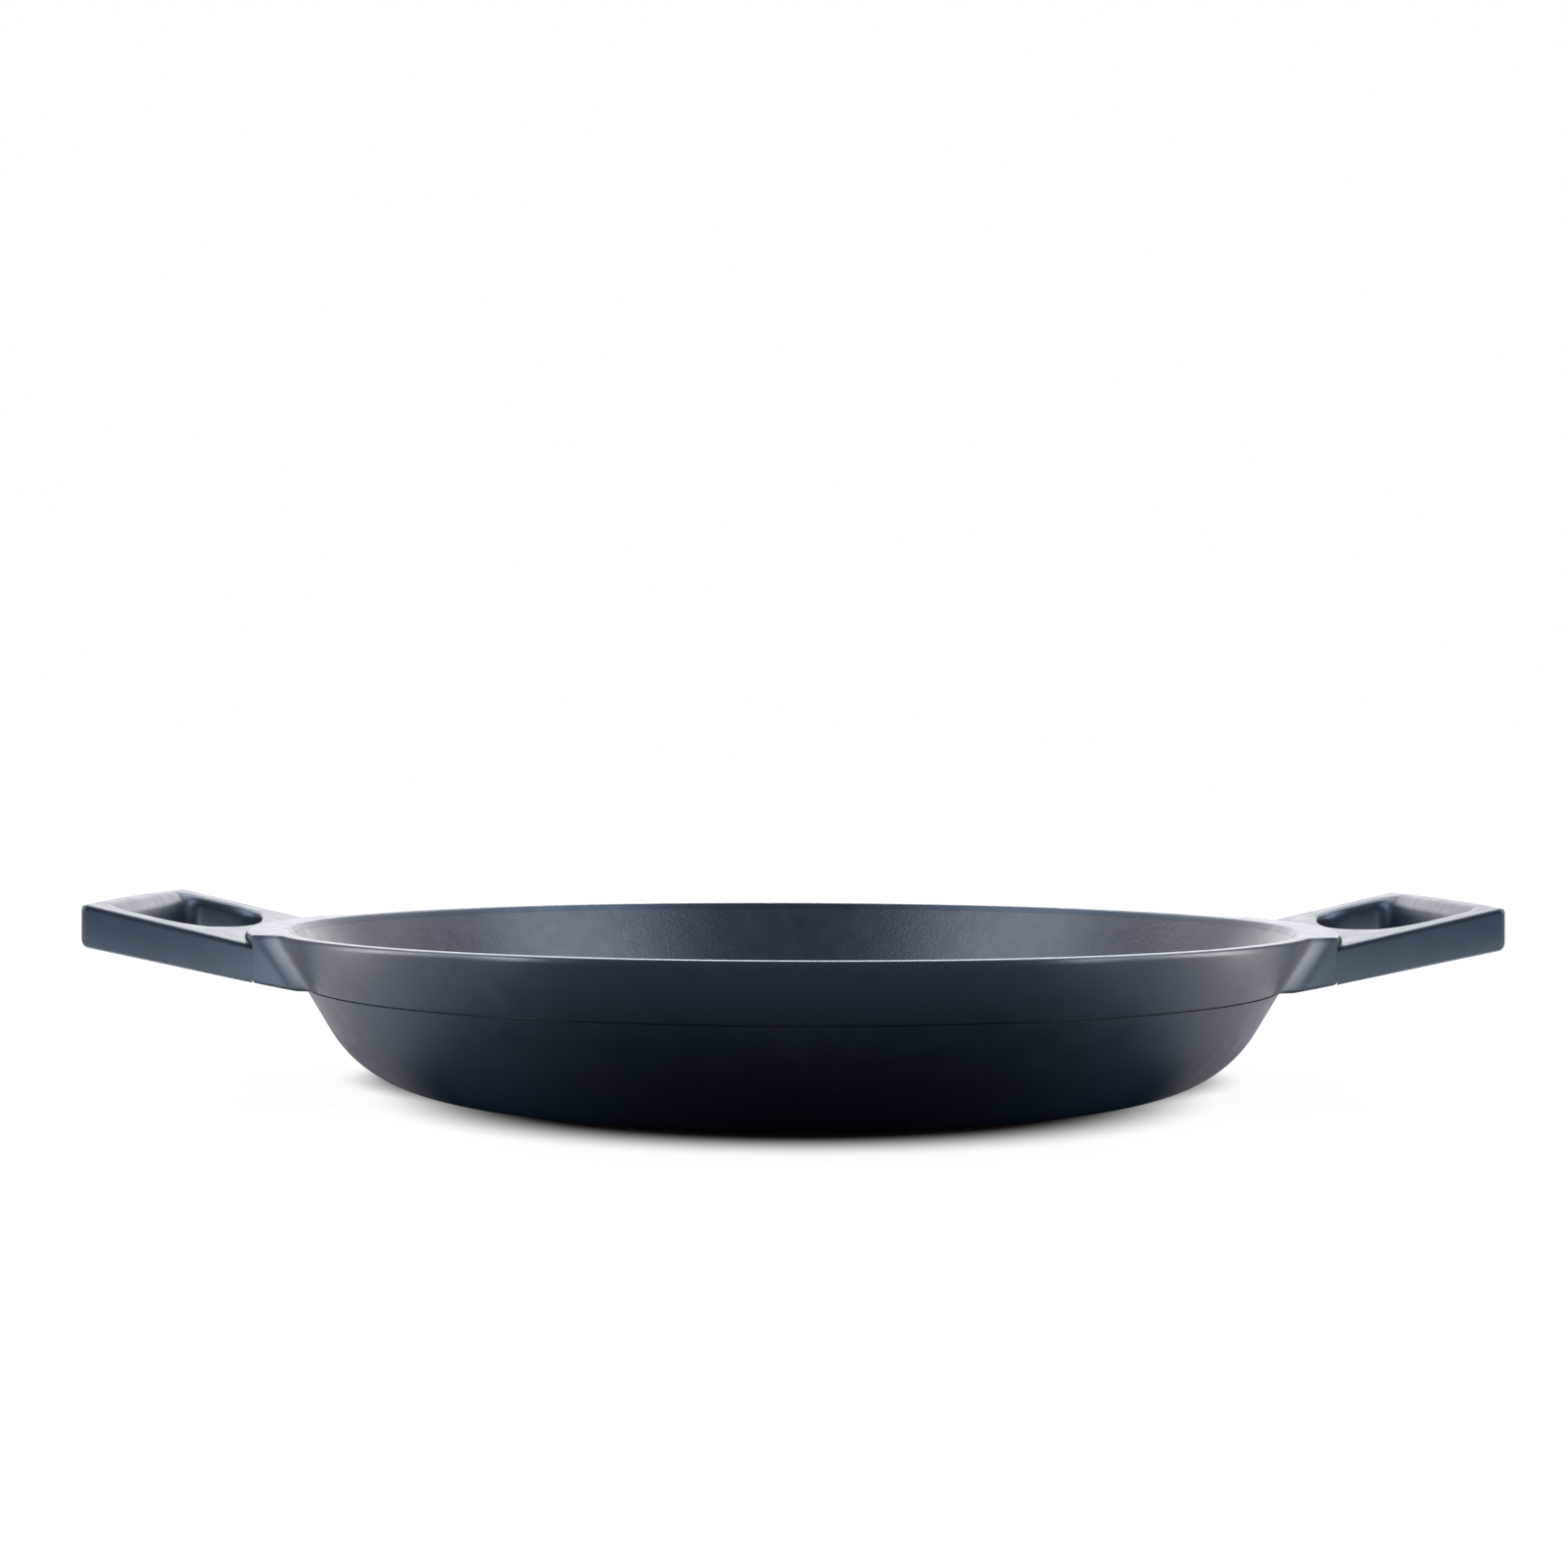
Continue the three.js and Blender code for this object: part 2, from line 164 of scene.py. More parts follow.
SCREW_SIDES = 60
SHARP_ANGLE = math.radians(38)
MERGE_DISTANCE = 1e-7
SHORTEST_EDGE = 1e-8

# Stretches of the bowl from the middle of a handle, each with its start, end and step in degrees
BOWL_STRETCHES = [
    (0, 19, 1.4),
    (19, 21, 0.05),
    (21, 26, 0.14),
    (26, 90, 1),
]

# Finishes
NOISE_LOW = 0.3
NOISE_HIGH = 0.7
CLOUD_SCALE = 45
CLOUD_DETAIL = 3
GLOSS_SCALE = 160
GLOSS_DETAIL = 4
GLOSS_SPREAD = 0.04
GRAIN_DETAIL = 3
SHEEN_TINT = (0.05, 0.36, 1)
SHEEN_SPREAD = 0.85
RING_DETAIL = 4
RING_SHADE = 0.8
RING_SMOOTHER = 0.05
RING_ROUGHER = 0.08

# Floor and background. The glow and the gloss are the floor's brightness near the pan, to the eye
# and in reflections, and it is full again at the far end of DIMMED_REACH.
FLOOR_HALF_SIDE = 40
FLOOR_DROP = 0.1 * MM
FLOOR_ROUGH = 0.9
FLOOR_GLOW = 0.93
FLOOR_GLOSS = 0.9
FLOOR_TONE = (0.06, 0.06, 0.06)
# Floor colour seen in reflections: ten times darker than FLOOR_TONE, a painted shade that dims the
# floor mirrored in the pan
FLOOR_REFLECTED_PAINTED_SHADE = (0.006, 0.006, 0.006)
DIMMED_REACH = (0.15, 1.5)
HORIZON_LEVEL = 1
HORIZON_TOP = 0.1
CEILING_LEVEL = 0.3
CEILING_START = 0.45

# Soft oval shadows, each with its middle, its half sizes and the share of them that is fully dark
SHADOWS = [
    ((0, -20 * MM, 0), (129 * MM, 129 * MM), 0.72),
    ((0, 20 * MM, 0), (147 * MM, 103 * MM), 0.83),
]
MIRRORED_SHADOWS = [
    ((0, 0, 0), (200 * MM, 200 * MM), 0.46),
    ((0, -100 * MM, 0), (156 * MM, 82 * MM), 0.7),
]

# Camera and lamps
PHOTO_SIZE = 1601
FOCAL_PIXELS = 2300
SENSOR = 36
CAMERA_NEAR = 0.01
CAMERA_PLACE = (-2.96 * MM, -712.98 * MM, 89.36 * MM)
CAMERA_PITCH = math.radians(0.42)
CAMERA_ROLL = math.radians(0.19)
PAN_TURN = math.radians(0.85)
LAMP_AIM = (0, 0, 0.05)
WHITE = (1, 1, 1)
WARM = (1, 0.84, 0.7)


def arc(x, y, radius, start, end, steps):
    points = []
    for i in range(steps + 1):
        angle = start + (end - start) * i / steps
        points.append((x + radius * math.cos(angle), y + radius * math.sin(angle)))
    return points


def line(start, end, steps):
    """Points from start to end, without start."""
    points = []
    for i in range(1, steps + 1):
        share = i / steps
        points.append(tuple(a + (b - a) * share for a, b in zip(start, end)))
    return points


def toward(start, end, distance):
    """The point at a distance from start on the way to end, at most as far as end."""
    length = math.dist(start, end)
    share = 1 if length <= distance else distance / length
    return tuple(a + (b - a) * share for a, b in zip(start, end))


def rounded(before, corner, after, steps):
    """A corner drawn as a curve from one point to another that keeps both directions."""
    points = []
    for i in range(steps + 1):
        t = i / steps
        first, second, third = (1 - t) ** 2, 2 * t * (1 - t), t * t
        ends = zip(before, corner, after)
        points.append(tuple(first * a + second * b + third * c for a, b, c in ends))
    return points


# Bowl profile, in radius and height
def wall_radius(height, inset=0):
    return RIM_RADIUS - (RIM_HEIGHT - height) / TAN_WALL - inset / SIN_WALL


def turn_into_wall(level, inset, radius, steps):
    height = level + radius
    centre = wall_radius(height, inset) - radius / SIN_WALL
    return arc(centre, height, radius, -QUARTER_TURN, WALL_ANGLE - QUARTER_TURN, steps)


def outside_radius(height):
    """Outside of the wall, with the rounding of the rim."""
    above = height - (RIM_HEIGHT - RIM_EDGE)
    if above < -RIM_EDGE * COS_WALL:
        return wall_radius(height)
    centre = wall_radius(RIM_HEIGHT - RIM_EDGE) - RIM_EDGE / SIN_WALL
    return centre + math.sqrt(max(0, RIM_EDGE ** 2 - above ** 2))


def inside_rim():
    height = RIM_HEIGHT - RIM_ROUND
    centre = wall_radius(height, WALL_THICKNESS) + RIM_ROUND / SIN_WALL
    end = QUARTER_TURN + WALL_ANGLE
    return arc(centre, height, RIM_ROUND, QUARTER_TURN, end, RIM_ROUND_STEPS)


def inside_curve(below, steps):
    level = FLOOR_HEIGHT - below
    return turn_into_wall(level, WALL_THICKNESS - below, INNER_TURN + below, steps)


def inside_wall(height, below):
    return (wall_radius(height, WALL_THICKNESS - below), height)


# Collars: how far the bowl reaches at an angle from the middle of a handle
def collar_reach(angle, wall, drawn):
    half = HANDLE_HALF_WIDTH - drawn
    seam = SEAM_RADIUS - SEAM_GAP / 2 - drawn
    inner_half = half - COLLAR_CORNER
    corner_x = math.sqrt((seam - COLLAR_CORNER) ** 2 - inner_half ** 2)
    if angle <= math.atan2(inner_half, corner_x):
        return seam
    if angle <= math.atan2(half, corner_x):
        return along_ray(angle, corner_x, inner_half, COLLAR_CORNER, 1)
    fillet_y = half + COLLAR_FILLET
    fillet_x = math.sqrt((wall + COLLAR_FILLET) ** 2 - fillet_y ** 2)
    if angle <= math.atan2(half, fillet_x):
        return half / math.sin(angle)
    if angle <= math.atan2(fillet_y, fillet_x):
        return along_ray(angle, fillet_x, fillet_y, COLLAR_FILLET, -1)
    return wall


def along_ray(angle, x, y, radius, side):
    """Distance along a ray from the middle of the pan to the far or near side of a circle."""
    middle = math.cos(angle) * x + math.sin(angle) * y
    return middle + side * math.sqrt(max(0, middle ** 2 - x ** 2 - y ** 2 + radius ** 2))


def handle_top(x):
    return RIM_HEIGHT - HANDLE_STEP + TOP_SLOPE * (x - RIM_RADIUS)


def handle_underside(x):
    return RIM_HEIGHT - HANDLE_STEP - HANDLE_DEPTH + UNDER_SLOPE * (x - RIM_RADIUS)


def ledge_start(angle):
    """Where the underside of a collar leaves the wall."""
    across = math.cos(angle)
    rise = UNDER_SLOPE * across / TAN_WALL
    height = handle_underside(across * wall_radius(0)) / (1 - rise)
    height = max(height, LEDGE_FLOOR)
    return (wall_radius(height), height)


def ledge_end(angle):
    """Where the underside of a collar meets its outer face."""
    radius, height = ledge_start(angle)
    for _ in range(LEDGE_REPEATS):
        radius = max(outside_radius(height), collar_reach(angle, outside_radius(height), 0))
        height = max(LEDGE_FLOOR, handle_underside(radius * math.cos(angle)))
    return (radius, height)


def collar_profile(angle):
    """The bowl from the groove up over the collar to the top of the rim."""
    start = ledge_start(angle)
    edge = ledge_end(angle)
    if math.dist(start, edge) < FINE_EDGE:
        edge = start
    ledge = math.dist(start, edge)
    groove_top = GROOVE_HEIGHT + GROOVE_WIDTH / 2
    groove_end = (wall_radius(groove_top), groove_top)
    round_size = min(COLLAR_EDGE, ledge / 2)
    below = toward(start, groove_end, round_size / 2)
    top_start = RIM_HEIGHT - RIM_EDGE
    face = [edge]
    for i in range(1, COLLAR_STEPS + 1):
        height = edge[1] + (top_start - edge[1]) * i / COLLAR_STEPS
        wall = outside_radius(height)
        face.append((max(wall, collar_reach(angle, wall, 0)), height))
    above = toward(edge, face[1], round_size)
    points = line(groove_end, below, LEDGE_ROOT_STEPS)
    points += rounded(below, start, toward(start, edge, round_size / 2), LEDGE_ROOT_STEPS)
    points += line(points[-1], toward(edge, start, round_size), LEDGE_STEPS)
    points += rounded(points[-1], edge, above, LEDGE_EDGE_STEPS)
    points += line(above, face[1], COLLAR_START_STEPS) + face[2:]
    for i in range(1, RIM_EDGE_STEPS + 1):
        turn = QUARTER_TURN * i / RIM_EDGE_STEPS
        height = top_start + RIM_EDGE * math.sin(turn)
        wall = outside_radius(height)
        drawn = RIM_EDGE * (1 - math.cos(turn))
        points.append((max(wall, collar_reach(angle, wall, drawn)), height))
    return points


def folded(angle):
    """An angle round the pan, measured from the nearer handle."""
    turned = abs(math.remainder(angle, 2 * math.pi))
    return min(turned, math.pi - turned)


def base_profile():
    """The bowl from the recess of the plate round the foot and up over the groove."""
    recess = PLATE_RADIUS + PLATE_GAP
    foot = PLATE_RADIUS + FOOT_WIDTH
    points = [(recess / 2, PLATE_THICKNESS), (recess, PLATE_THICKNESS)]
    inner = (recess + FINE_EDGE, FOOT_LIFT + FINE_EDGE, FINE_EDGE)
    points += arc(*inner, 2 * QUARTER_TURN, 3 * QUARTER_TURN, FINE_EDGE_STEPS)
    outer = (foot - FOOT_ROUND, FOOT_LIFT + FOOT_ROUND, FOOT_ROUND)
    points += arc(*outer, -QUARTER_TURN, 0, FOOT_STEPS)
    points.append((foot, FOOT_LIFT + FOOT_HEIGHT))
    points += turn_into_wall(FOOT_LIFT + FOOT_HEIGHT, 0, OUTER_TURN, TURN_STEPS)
    groove_start = GROOVE_HEIGHT - GROOVE_WIDTH / 2
    points += line(points[-1], (wall_radius(groove_start), groove_start), WALL_STEPS)
    for i in range(1, GROOVE_STEPS + 1):
        turn = math.pi * i / GROOVE_STEPS
        height = groove_start + GROOVE_WIDTH * (1 - math.cos(turn)) / 2
        depth = GROOVE_DEPTH * math.sin(turn)
        points.append((wall_radius(height, depth), height))
    return points


def inner_profile(outer_top):
    """The bowl from the top of the rim down the inside, under the lining."""
    ledge = RIM_HEIGHT - LINING_BELOW_RIM
    rim = inside_rim()
    points = line(outer_top, rim[0], RIM_TOP_STEPS) + rim[1:]
    points += line(points[-1], inside_wall(ledge, 0), RIM_INSIDE_STEPS)
    points.append(inside_wall(ledge, LINING_THICKNESS))
    points += inside_curve(LINING_THICKNESS, LINED_TURN_STEPS)[::-1]
    return points


def body_angles():
    """Steps round the bowl, finer across the ends of the collars."""
    quarter = []
    for start, end, step in BOWL_STRETCHES:
        count = round((end - start) / step)
        quarter += [start + (end - start) * i / count for i in range(count)]
    half = quarter + [180 - a for a in [90] + quarter[:0:-1]]
    return [math.radians(a) for a in half + [a + 180 for a in half]]


# Meshes
def polar_mesh(profile_at, angles, bottom, top):
    """A closed skin of profiles set round the upright axis, with a point at each end."""
    columns = [profile_at(angle) for angle in angles]
    rows = len(columns[0])
    made = bmesh.new()
    grid = []
    for angle, column in zip(angles, columns):
        across, along = math.cos(angle), math.sin(angle)
        grid.append([made.verts.new((r * across, r * along, z)) for r, z in column])
    low = made.verts.new((0, 0, bottom))
    high = made.verts.new((0, 0, top))
    for i, column in enumerate(grid):
        beside = grid[(i + 1) % len(grid)]
        made.faces.new((low, beside[0], column[0]))
        made.faces.new((high, column[-1], beside[-1]))
        for k in range(rows - 1):
            made.faces.new((column[k], beside[k], beside[k + 1], column[k + 1]))
    return made


def even_angles(count):
    return [2 * math.pi * i / count for i in range(count)]


def moved(made, x, y):
    bmesh.ops.translate(made, verts=made.verts, vec=(x, y, 0))
    return made


def joined(parts):
    """Several closed skins as one."""
    whole = bmesh.new()
    for part in parts:
        mesh = bpy.data.meshes.new("part")
        part.to_mesh(mesh)
        whole.from_mesh(mesh)
        part.free()
        bpy.data.meshes.remove(mesh)
    return whole


def loose_object(name, made):
    bmesh.ops.remove_doubles(made, verts=made.verts, dist=MERGE_DISTANCE)
    bmesh.ops.dissolve_degenerate(made, dist=SHORTEST_EDGE, edges=made.edges)
    bmesh.ops.recalc_face_normals(made, faces=made.faces)
    mesh = bpy.data.meshes.new(name)
    made.to_mesh(mesh)
    made.free()
    found = bpy.data.objects.new(name, mesh)
    bpy.context.scene.collection.objects.link(found)
    return found


def cut_or_join(piece, tool, operation):
    """Joins a tool to a piece or cuts it away, and deletes the tool."""
    change = piece.modifiers.new(operation, "BOOLEAN")
    change.object = tool
    change.operation = operation
    change.solver = "EXACT"
    graph = bpy.context.evaluated_depsgraph_get()
    mesh = bpy.data.meshes.new_from_object(piece.evaluated_get(graph))
    piece.modifiers.clear()
    piece.data = mesh
    bpy.data.objects.remove(tool)


def dressed(piece, material, node):
    """Smooth shading and a material; hangs the piece under the root body and hides the node that it
    stands for.
    """
    piece.data.materials.clear()
    piece.data.materials.append(material)
    piece.data.shade_smooth()
    piece.data.set_sharp_from_angle(angle=SHARP_ANGLE)
    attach(piece, "root")
    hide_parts(node)
    return piece


# Bowl, lining and base plate
def hole_places():
    places = []
    rings = int((PLATE_RADIUS - PLATE_BORDER - HOLE_RADIUS) / HOLE_RING_PITCH)
    for ring in range(1, rings + 1):
        count = ring * HOLES_PER_RING
        places += arc(0, 0, ring * HOLE_RING_PITCH, 0, 2 * math.pi, count)[1:]
    return places


def peg():
    radius = HOLE_RADIUS - PLATE_GAP
    edge = (radius - FINE_EDGE, FOOT_LIFT + FINE_EDGE, FINE_EDGE)
    profile = arc(*edge, -QUARTER_TURN, 0, FINE_EDGE_STEPS)
    top = (PLATE_THICKNESS + FLOOR_HEIGHT) / 2
    profile.append((radius, top))
    return polar_mesh(lambda angle: profile, even_angles(HOLE_SIDES), FOOT_LIFT, top)


def screw_recess(low):
    radius = SCREW_HEAD_RADIUS + SCREW_GAP
    bottom = low.z - radius
    top = low.z + SCREW_HEAD_HEIGHT + SCREW_GAP
    profile = [(radius, bottom), (radius, top)]
    return polar_mesh(lambda angle: profile, even_angles(RECESS_SIDES), bottom, top)


def screw_place(node):
    low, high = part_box(node)
    return Vector(((low.x + high.x) / 2, (low.y + high.y) / 2, low.z))


def bowl(material):
    base = base_profile()

    def profile(angle):
        outside = base + collar_profile(folded(angle))
        return outside + inner_profile(outside[-1])

    skin = polar_mesh(profile, body_angles(), PLATE_THICKNESS, FLOOR_HEIGHT - LINING_THICKNESS)
    piece = loose_object("bowl", skin)
    pegs = [moved(peg(), x, y) for x, y in hole_places()]
    cut_or_join(piece, loose_object("pegs", joined(pegs)), "UNION")
    places = [screw_place(node) for node in SCREWS]
    recesses = [moved(screw_recess(place), place.x, place.y) for place in places]
    cut_or_join(piece, loose_object("recesses", joined(recesses)), "DIFFERENCE")
    return dressed(piece, material, "pan_body")


def lining(material):
    under = LINING_THICKNESS - LINING_GAP
    edge = RIM_HEIGHT - LINING_BELOW_RIM - LINING_GAP
    below = inside_curve(under, TURN_STEPS)
    above = inside_curve(0, TURN_STEPS)
    profile = below + line(below[-1], inside_wall(edge, under), LINING_WALL_STEPS)
    profile.append(inside_wall(edge, 0))
    profile += line(inside_wall(edge, 0), above[-1], LINING_WALL_STEPS) + above[-2::-1]
    angles = even_angles(LINING_SIDES)
    skin = polar_mesh(lambda angle: profile, angles, FLOOR_HEIGHT - under, FLOOR_HEIGHT)
    piece = loose_object("cooking_surface", skin)
    return dressed(piece, material, "nonstick_lining")


def base_plate(material):
    """A disc with holes, drawn as flat outlines and given its thickness and fine edges."""
    outline = bpy.data.curves.new("base_disc", "CURVE")
    outline.dimensions = "2D"
    outline.fill_mode = "BOTH"
    outline.extrude = PLATE_THICKNESS / 2 - FINE_EDGE
    outline.bevel_depth = FINE_EDGE
    outline.bevel_resolution = 1
    circles = [(0, 0, PLATE_RADIUS - FINE_EDGE, PLATE_SIDES)]
    circles += [(x, y, HOLE_RADIUS + FINE_EDGE, HOLE_SIDES) for x, y in hole_places()]
    for x, y, radius, count in circles:
        spline = outline.splines.new("POLY")
        points = arc(x, y, radius, 0, 2 * math.pi, count)[1:]
        spline.points.add(len(points) - 1)
        for point, (px, py) in zip(spline.points, points):
            point.co = (px, py, 0, 1)
        spline.use_cyclic_u = True
    drawn = bpy.data.objects.new("base_disc", outline)
    bpy.context.scene.collection.objects.link(drawn)
    graph = bpy.context.evaluated_depsgraph_get()
    mesh = bpy.data.meshes.new_from_object(drawn.evaluated_get(graph))
    bpy.data.objects.remove(drawn)
    mesh.transform(Matrix.Translation((0, 0, PLATE_THICKNESS / 2)))
    made = bmesh.new()
    made.from_mesh(mesh)
    bpy.data.meshes.remove(mesh)
    return dressed(loose_object("base_disc", made), material, "induction_plate")


# Handles: two loops in plan, the outer edge and the finger hole, with as many points each,
# and with the way out of the metal at each point
def outward(points, centre, side):
    found = []
    for p in points:
        length = math.dist(p, centre)
        found.append((p, tuple(side * (a - b) / length for a, b in zip(p, centre))))
    return found


def half_outline():
    half = HANDLE_HALF_WIDTH
    seam = SEAM_RADIUS + SEAM_GAP / 2
    inner_half = half - COLLAR_CORNER
    root_x = math.sqrt((seam + COLLAR_CORNER) ** 2 - inner_half ** 2)
    root_angle = math.atan2(-inner_half, root_x)
    root_middle = (root_x, -inner_half)
    bow_x = HANDLE_END - END_BOW
    end_y = half - HANDLE_CORNER
    end_x = bow_x + math.sqrt((END_BOW - HANDLE_CORNER) ** 2 - end_y ** 2)
    along = math.atan2(end_y, end_x - bow_x)
    corner_middle = (end_x, -end_y)
    seam_arc = arc(0, 0, seam, 0, root_angle, SEAM_STEPS)
    root = arc(*root_middle, COLLAR_CORNER, root_angle - math.pi, -QUARTER_TURN, ROOT_STEPS)
    corner = arc(*corner_middle, HANDLE_CORNER, -QUARTER_TURN, -along, CORNER_STEPS)
    beside_root = toward(root[-1], corner[0], FINE_EDGE)
    side = [root[-1], beside_root] + line(beside_root, corner[0], SIDE_STEPS - 1)
    end = arc(bow_x, 0, END_BOW, -along, 0, END_STEPS)
    return [
        outward(seam_arc, (0, 0), -1),
        outward(root, root_middle, 1),
        [(p, (0, -1)) for p in side],
        outward(corner, corner_middle, 1),
        outward(end, (bow_x, 0), 1),
    ]


def half_grip():
    half = HANDLE_HALF_WIDTH - SIDE_BAR
    outer_x = HANDLE_END - END_BAR
    bow_x = SEAM_RADIUS + WEB + GRIP_BOW
    inner_y = half - GRIP_INNER_CORNER
    inner_x = bow_x - math.sqrt((GRIP_BOW - GRIP_INNER_CORNER) ** 2 - inner_y ** 2)
    along = math.pi + math.atan2(inner_y, bow_x - inner_x)
    inner_middle = (inner_x, -inner_y)
    corner_middle = (outer_x - GRIP_OUTER_CORNER, GRIP_OUTER_CORNER - half)
    bow = arc(bow_x, 0, GRIP_BOW, math.pi, along, SEAM_STEPS)
    inner = arc(*inner_middle, GRIP_INNER_CORNER, along, 3 * QUARTER_TURN, ROOT_STEPS)
    corner = arc(*corner_middle, GRIP_OUTER_CORNER, -QUARTER_TURN, 0, CORNER_STEPS)
    side = [inner[-1]] + line(inner[-1], corner[0], SIDE_STEPS)
    end = [corner[-1]] + line(corner[-1], (outer_x, 0), END_STEPS)
    return [
        outward(bow, (bow_x, 0), -1),
        outward(inner, inner_middle, -1),
        [(p, (0, 1)) for p in side],
        outward(corner, corner_middle, -1),
        [(p, (-1, 0)) for p in end],
    ]


def whole_loop(sections, edges):
    """A half outline and its mirror image as a loop, with edge rounding that changes on the way."""
    half = []
    for section, first, last in zip(sections, edges, edges[1:]):
        steps = [first] + line(first, last, len(section) - 1)
        half += [(p, n, edge) for (p, n), edge in zip(section, steps)]
    mirrored = [((x, -y), (nx, -ny), edge) for (x, y), (nx, ny), edge in half[::-1]]
    return half + mirrored


def handle_height(x, share):
    low = handle_underside(x)
    return low + share * (handle_top(x) - low)


def edge_rows(point, normal, edges, upward):
    """Points up or down one side of the frame, rounded at both ends, in plan and share of depth."""
    low, high = edges
    turns = [QUARTER_TURN * i / HANDLE_EDGE_STEPS for i in range(HANDLE_EDGE_STEPS + 1)]
    rows = []
    for turn in turns:
        below = turn - QUARTER_TURN
        rows.append((low * (1 - math.cos(below)), low * (1 + math.sin(below))))
    for turn in turns:
        rows.append((high * (1 - math.cos(turn)), HANDLE_DEPTH - high * (1 - math.sin(turn))))
    if not upward:
        rows.reverse()
    found = []
    for inset, height in rows:
        x = point[0] - normal[0] * inset
        y = point[1] - normal[1] * inset
        found.append((x, y, height / HANDLE_DEPTH))
    return found


def handle(name, turn, node, material):
    seam = (FINE_EDGE, SEAM_LIP)
    side = (SIDE_UNDER_EDGE, HANDLE_EDGE)
    end = (END_UNDER_EDGE, HANDLE_EDGE)
    outer = whole_loop(half_outline(), [seam, seam, side, side, end, end])
    hole = (GRIP_EDGE, GRIP_EDGE)
    hole_side = (GRIP_EDGE, GRIP_SIDE_EDGE)
    hole_end = (HANDLE_EDGE, GRIP_END_EDGE)
    inner = whole_loop(half_grip(), [hole, hole, hole_side, hole_side, hole_end, hole_end])
    made = bmesh.new()
    grid = []
    for outside, inside in zip(outer, inner):
        up = edge_rows(*outside, True)
        down = edge_rows(*inside, False)
        over = line(up[-1], down[0], HANDLE_FACE_STEPS)[:-1]
        under = line(down[-1], up[0], HANDLE_FACE_STEPS)[:-1]
        column = up + over + down + under
        grid.append([made.verts.new((x, y, handle_height(x, share))) for x, y, share in column])
    for i, column in enumerate(grid):
        beside = grid[(i + 1) % len(grid)]
        for k in range(len(column)):
            after = (k + 1) % len(column)
            made.faces.new((column[k], beside[k], beside[after], column[after]))
    bmesh.ops.rotate(made, verts=made.verts, matrix=Matrix.Rotation(turn, 3, "Z"))
    return dressed(loose_object(name, made), material, node)


def screw(node, material):
    low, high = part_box(node)
    place = screw_place(node)
    shoulder = low.z + SCREW_HEAD_HEIGHT
    floor = low.z + SCREW_KEY_DEPTH
    key_side = 2 * math.pi / SCREW_KEY_SIDES

    def profile(angle):
        facing = (angle + key_side / 2) % key_side - key_side / 2
        key = SCREW_KEY / 2 / math.cos(facing)
        points = [(key, floor), (key, low.z + FINE_EDGE), (key + FINE_EDGE, low.z)]
        edge = (SCREW_HEAD_RADIUS - SCREW_HEAD_EDGE, low.z + SCREW_HEAD_EDGE, SCREW_HEAD_EDGE)
        points += arc(*edge, -QUARTER_TURN, 0, SCREW_EDGE_STEPS)
        points += [(SCREW_HEAD_RADIUS, shoulder), (SCREW_RADIUS, shoulder)]
        points += [(SCREW_RADIUS, high.z - SCREW_TIP), (SCREW_RADIUS - SCREW_TIP, high.z)]
        return points

    skin = polar_mesh(profile, even_angles(SCREW_SIDES), floor, high.z)
    piece = loose_object(node + "_fine", moved(skin, place.x, place.y))
    return dressed(piece, material, node)


# Materials
def shader(name):
    made = bpy.data.materials.new(name)
    made.use_nodes = True
    nodes, links = made.node_tree.nodes, made.node_tree.links
    return made, nodes, links, nodes["Principled BSDF"]


def noise(nodes, links, coordinates, scale, detail):
    found = nodes.new("ShaderNodeTexNoise")
    found.inputs["Scale"].default_value = scale
    found.inputs["Detail"].default_value = detail
    links.new(coordinates, found.inputs["Vector"])
    return found.outputs["Fac"]


def ranged(nodes, links, value, low, high):
    """A noise stretched to run from low to high."""
    found = nodes.new("ShaderNodeMapRange")
    found.inputs["From Min"].default_value = NOISE_LOW
    found.inputs["From Max"].default_value = NOISE_HIGH
    found.inputs["To Min"].default_value = low
    found.inputs["To Max"].default_value = high
    links.new(value, found.inputs["Value"])
    return found.outputs["Result"]


def tones(nodes, links, value, first, second):
    found = nodes.new("ShaderNodeMix")
    found.data_type = "RGBA"
    found.inputs["A"].default_value = (*first, 1)
    found.inputs["B"].default_value = (*second, 1)
    links.new(value, found.inputs["Factor"])
    return found.outputs["Result"]


def bumped(nodes, links, height, distance, target):
    found = nodes.new("ShaderNodeBump")
    found.inputs["Distance"].default_value = distance
    links.new(height, found.inputs["Height"])
    links.new(found.outputs["Normal"], target.inputs["Normal"])


def coating(name, dark, light, tint, rough, grain, grain_depth, sheen):
    """A sprayed coating: two close tones, an uneven gloss, a fine grain and a faint cool sheen."""
    made, nodes, links, main = shader(name)
    place = nodes.new("ShaderNodeTexCoord").outputs["Object"]
    cloud = noise(nodes, links, place, CLOUD_SCALE, CLOUD_DETAIL)
    cloud = ranged(nodes, links, cloud, 0, 1)
    links.new(tones(nodes, links, cloud, dark, light), main.inputs["Base Color"])
    gloss = noise(nodes, links, place, GLOSS_SCALE, GLOSS_DETAIL)
    gloss = ranged(nodes, links, gloss, rough - GLOSS_SPREAD, rough + GLOSS_SPREAD)
    links.new(gloss, main.inputs["Roughness"])
    bumped(nodes, links, noise(nodes, links, place, grain, GRAIN_DETAIL), grain_depth, main)
    main.inputs["Specular Tint"].default_value = (*tint, 1)
    main.inputs["Sheen Weight"].default_value = sheen
    main.inputs["Sheen Roughness"].default_value = SHEEN_SPREAD
    main.inputs["Sheen Tint"].default_value = (*SHEEN_TINT, 1)
    return made


